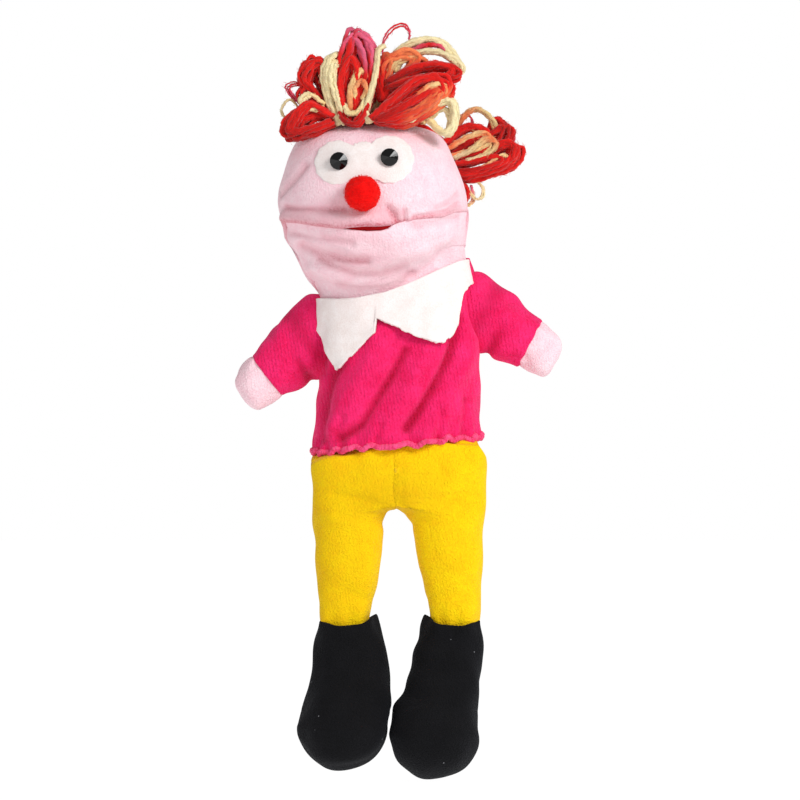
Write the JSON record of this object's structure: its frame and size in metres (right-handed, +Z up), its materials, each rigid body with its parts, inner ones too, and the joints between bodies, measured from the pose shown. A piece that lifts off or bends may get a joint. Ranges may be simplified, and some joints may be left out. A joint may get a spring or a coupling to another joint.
{
  "type": "hand puppet",
  "caption": "Fabric hand puppet of a boy with a moving mouth, felt eye patch, pompom nose, looped yarn hair, velour jacket and dangling stuffed legs in boots.",
  "frame": {"origin": "centre of the hand opening at the jacket hem", "axes": "+Z up along the body, the face looks along -Y, +X to the right of a viewer in front"},
  "size_m": [0.1859, 0.1304, 0.4194],
  "materials": {
    "skin_velour": "soft pile",
    "white_felt": "wool felt",
    "red_felt": "wool felt",
    "magenta_velour": "soft pile",
    "edging_thread": "serged thread",
    "yellow_fleece": "brushed fleece",
    "black_velour": "soft pile",
    "red_yarn": "looped yarn",
    "cream_yarn": "looped yarn",
    "gem": "faceted and polished",
    "pompom": "felted wool",
    "board": "raw",
    "foam": "open cell foam",
    "fibre_fill": "loose fibre",
    "elastic": "woven elastic"
  },
  "bodies": {
    "torso": {"jacket_front": "magenta_velour", "jacket_back": "magenta_velour", "hem_edging": "edging_thread", "collar": "white_felt"},
    "neck": {"neck_elastic": "elastic", "neck_cover": "skin_velour"},
    "head": {"face_cover": "skin_velour", "head_back_cover": "skin_velour", "head_foam": "foam", "mouth_board_upper": "board", "mouth_lining_upper": "red_felt", "mouth_hinge_tape": "red_felt", "eye_patch": "white_felt", "eye_left": "gem", "eye_right": "gem", "nose": "pompom", "hair_tape": "red_yarn", "hair_bunch_1": "red_yarn", "hair_bunch_2": "cream_yarn", "hair_bunch_3": "red_yarn", "hair_bunch_4": "cream_yarn", "hair_bunch_5": "red_yarn", "hair_bunch_6": "cream_yarn", "hair_crown": "cream_yarn", "hair_side_upper": "red_yarn", "hair_side_lower": "cream_yarn", "hair_back": "red_yarn"},
    "jaw": {"jaw_cover": "skin_velour", "jaw_foam": "foam", "mouth_board_lower": "board", "mouth_lining_lower": "red_felt"},
    "left_arm": {"sleeve_left": "magenta_velour", "arm_stuffing_left": "fibre_fill", "hand_left": "skin_velour"},
    "right_arm": {"sleeve_right": "magenta_velour", "arm_stuffing_right": "fibre_fill", "hand_right": "skin_velour"},
    "trousers": {"trouser_seat": "yellow_fleece", "seat_stuffing": "fibre_fill"},
    "left_leg": {"trouser_leg_left": "yellow_fleece", "leg_stuffing_left": "fibre_fill"},
    "right_leg": {"trouser_leg_right": "yellow_fleece", "leg_stuffing_right": "fibre_fill"},
    "left_boot": {"boot_left": "black_velour", "boot_stuffing_left": "fibre_fill"},
    "right_boot": {"boot_right": "black_velour", "boot_stuffing_right": "fibre_fill"}
  },
  "joints": [
    {"name": "head_turn", "type": "hinge", "parent": "torso", "child": "neck", "pos_m": [-0.005, 0, 0.0915], "axis": [-0.2504, 0, 0.9681], "range_deg": [-20, 20], "deforming": ["neck_cover"]},
    {"name": "head_nod", "type": "hinge", "parent": "neck", "child": "head", "pos_m": [-0.005, 0.005, 0.097], "axis": [-1, 0, 0], "range_deg": [-15, 15], "deforming": ["neck_cover"]},
    {"name": "jaw_open", "type": "hinge", "parent": "head", "child": "jaw", "pos_m": [-0.0155, -0.002, 0.1208], "axis": [1, 0, 0], "range_deg": [0, 28], "deforming": ["neck_cover"]},
    {"name": "shoulder_left", "type": "hinge", "parent": "torso", "child": "left_arm", "pos_m": [-0.057, 0, 0.052], "axis": [0, 1, 0], "range_deg": [-25, 85]},
    {"name": "shoulder_right", "type": "hinge", "parent": "torso", "child": "right_arm", "pos_m": [0.054, 0, 0.067], "axis": [0, -1, 0], "range_deg": [-25, 85]},
    {"name": "waist_swing", "type": "hinge", "parent": "torso", "child": "trousers", "pos_m": [0, -0.0258, -0.001], "axis": [-1, 0, 0], "range_deg": [-10, 22]},
    {"name": "hip_left", "type": "hinge", "parent": "trousers", "child": "left_leg", "pos_m": [-0.0246, -0.02, -0.037], "axis": [-1, 0, 0], "range_deg": [-20, 40]},
    {"name": "hip_right", "type": "hinge", "parent": "trousers", "child": "right_leg", "pos_m": [0.0246, -0.02, -0.037], "axis": [-1, 0, 0], "range_deg": [-20, 40]},
    {"name": "ankle_left", "type": "hinge", "parent": "left_leg", "child": "left_boot", "pos_m": [-0.0305, -0.02, -0.101], "axis": [-1, 0, 0], "range_deg": [-20, 20]},
    {"name": "ankle_right", "type": "hinge", "parent": "right_leg", "child": "right_boot", "pos_m": [0.0315, -0.02, -0.101], "axis": [-1, 0, 0], "range_deg": [-20, 20]}
  ]
}
